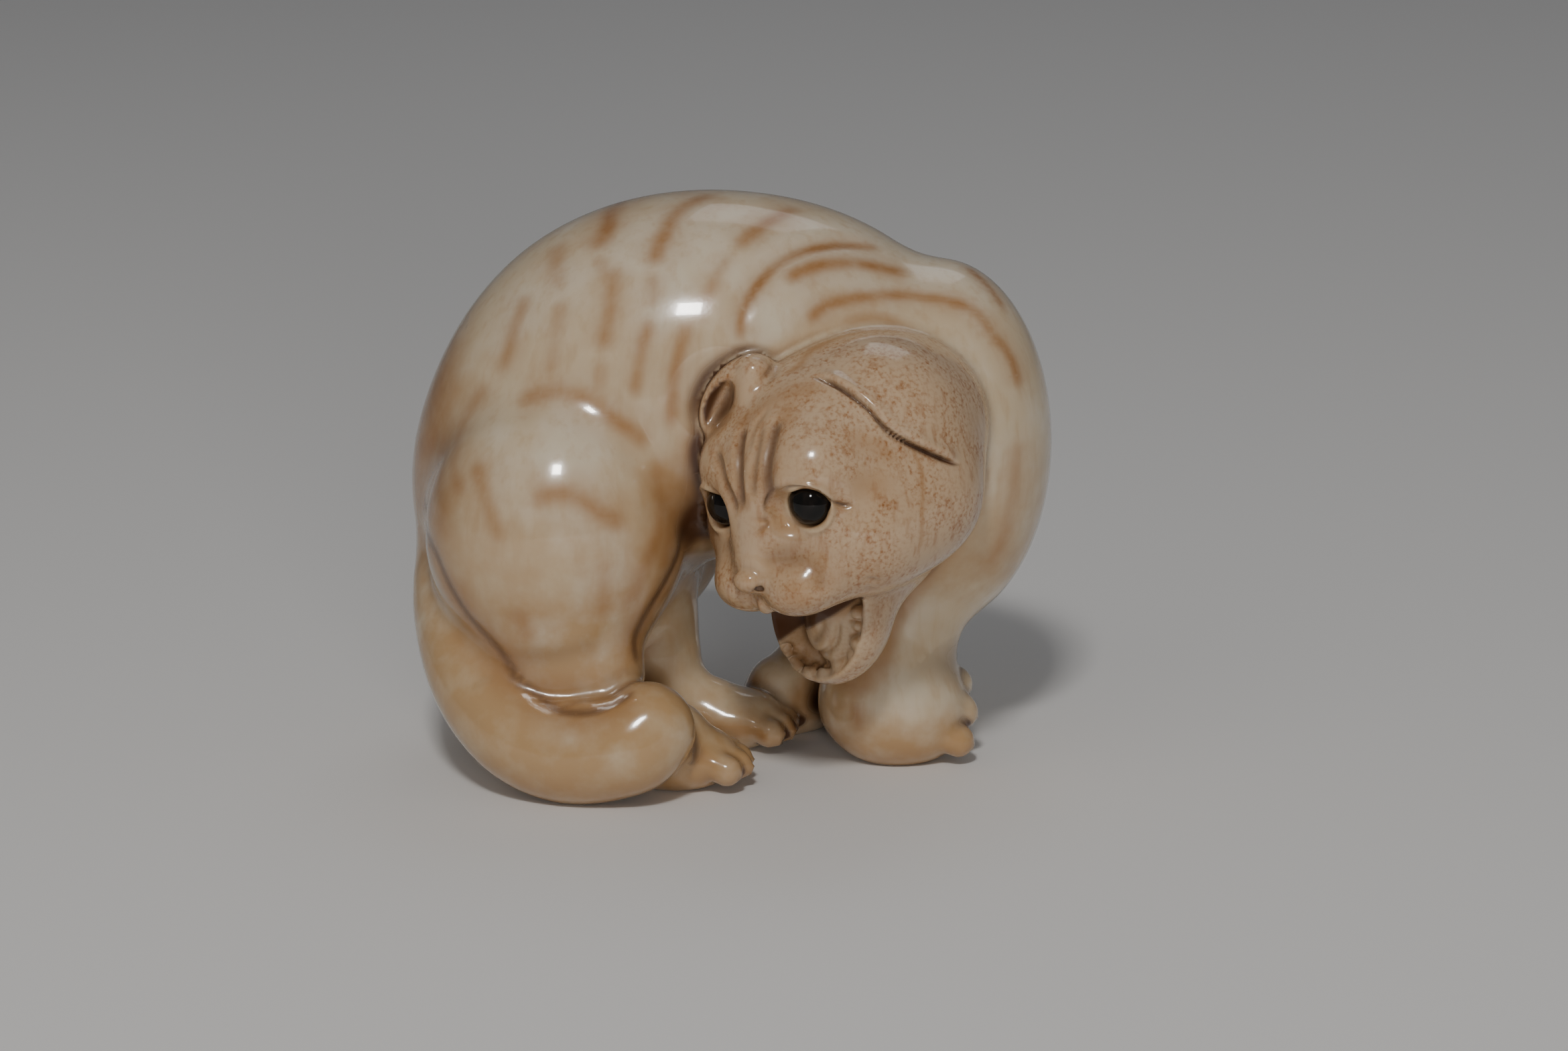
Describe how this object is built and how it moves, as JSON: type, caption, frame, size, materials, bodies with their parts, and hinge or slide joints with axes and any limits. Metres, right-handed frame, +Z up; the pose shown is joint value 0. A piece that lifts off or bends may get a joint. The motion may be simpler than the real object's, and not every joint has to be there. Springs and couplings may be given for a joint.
{
  "type": "tiger netsuke",
  "caption": "Carved ivory-coloured tiger with arched back and gaping head turned to its flank, tail round its feet and inlaid dark eyes; the gap under the belly takes a cord.",
  "frame": {"origin": "centre of the bounding box's underside, on the plane that the soles stand on", "axes": "+Z up, +X the way the tiger walks, the head turned to look out towards -Y"},
  "size_m": [0.0418, 0.0306, 0.0367],
  "materials": {
    "ivory": "polished, stained ivory or an ivory-like material",
    "horn": "polished black horn"
  },
  "bodies": {
    "root": {"tiger": "ivory", "eye_left": "horn", "eye_right": "horn"}
  },
  "joints": []
}
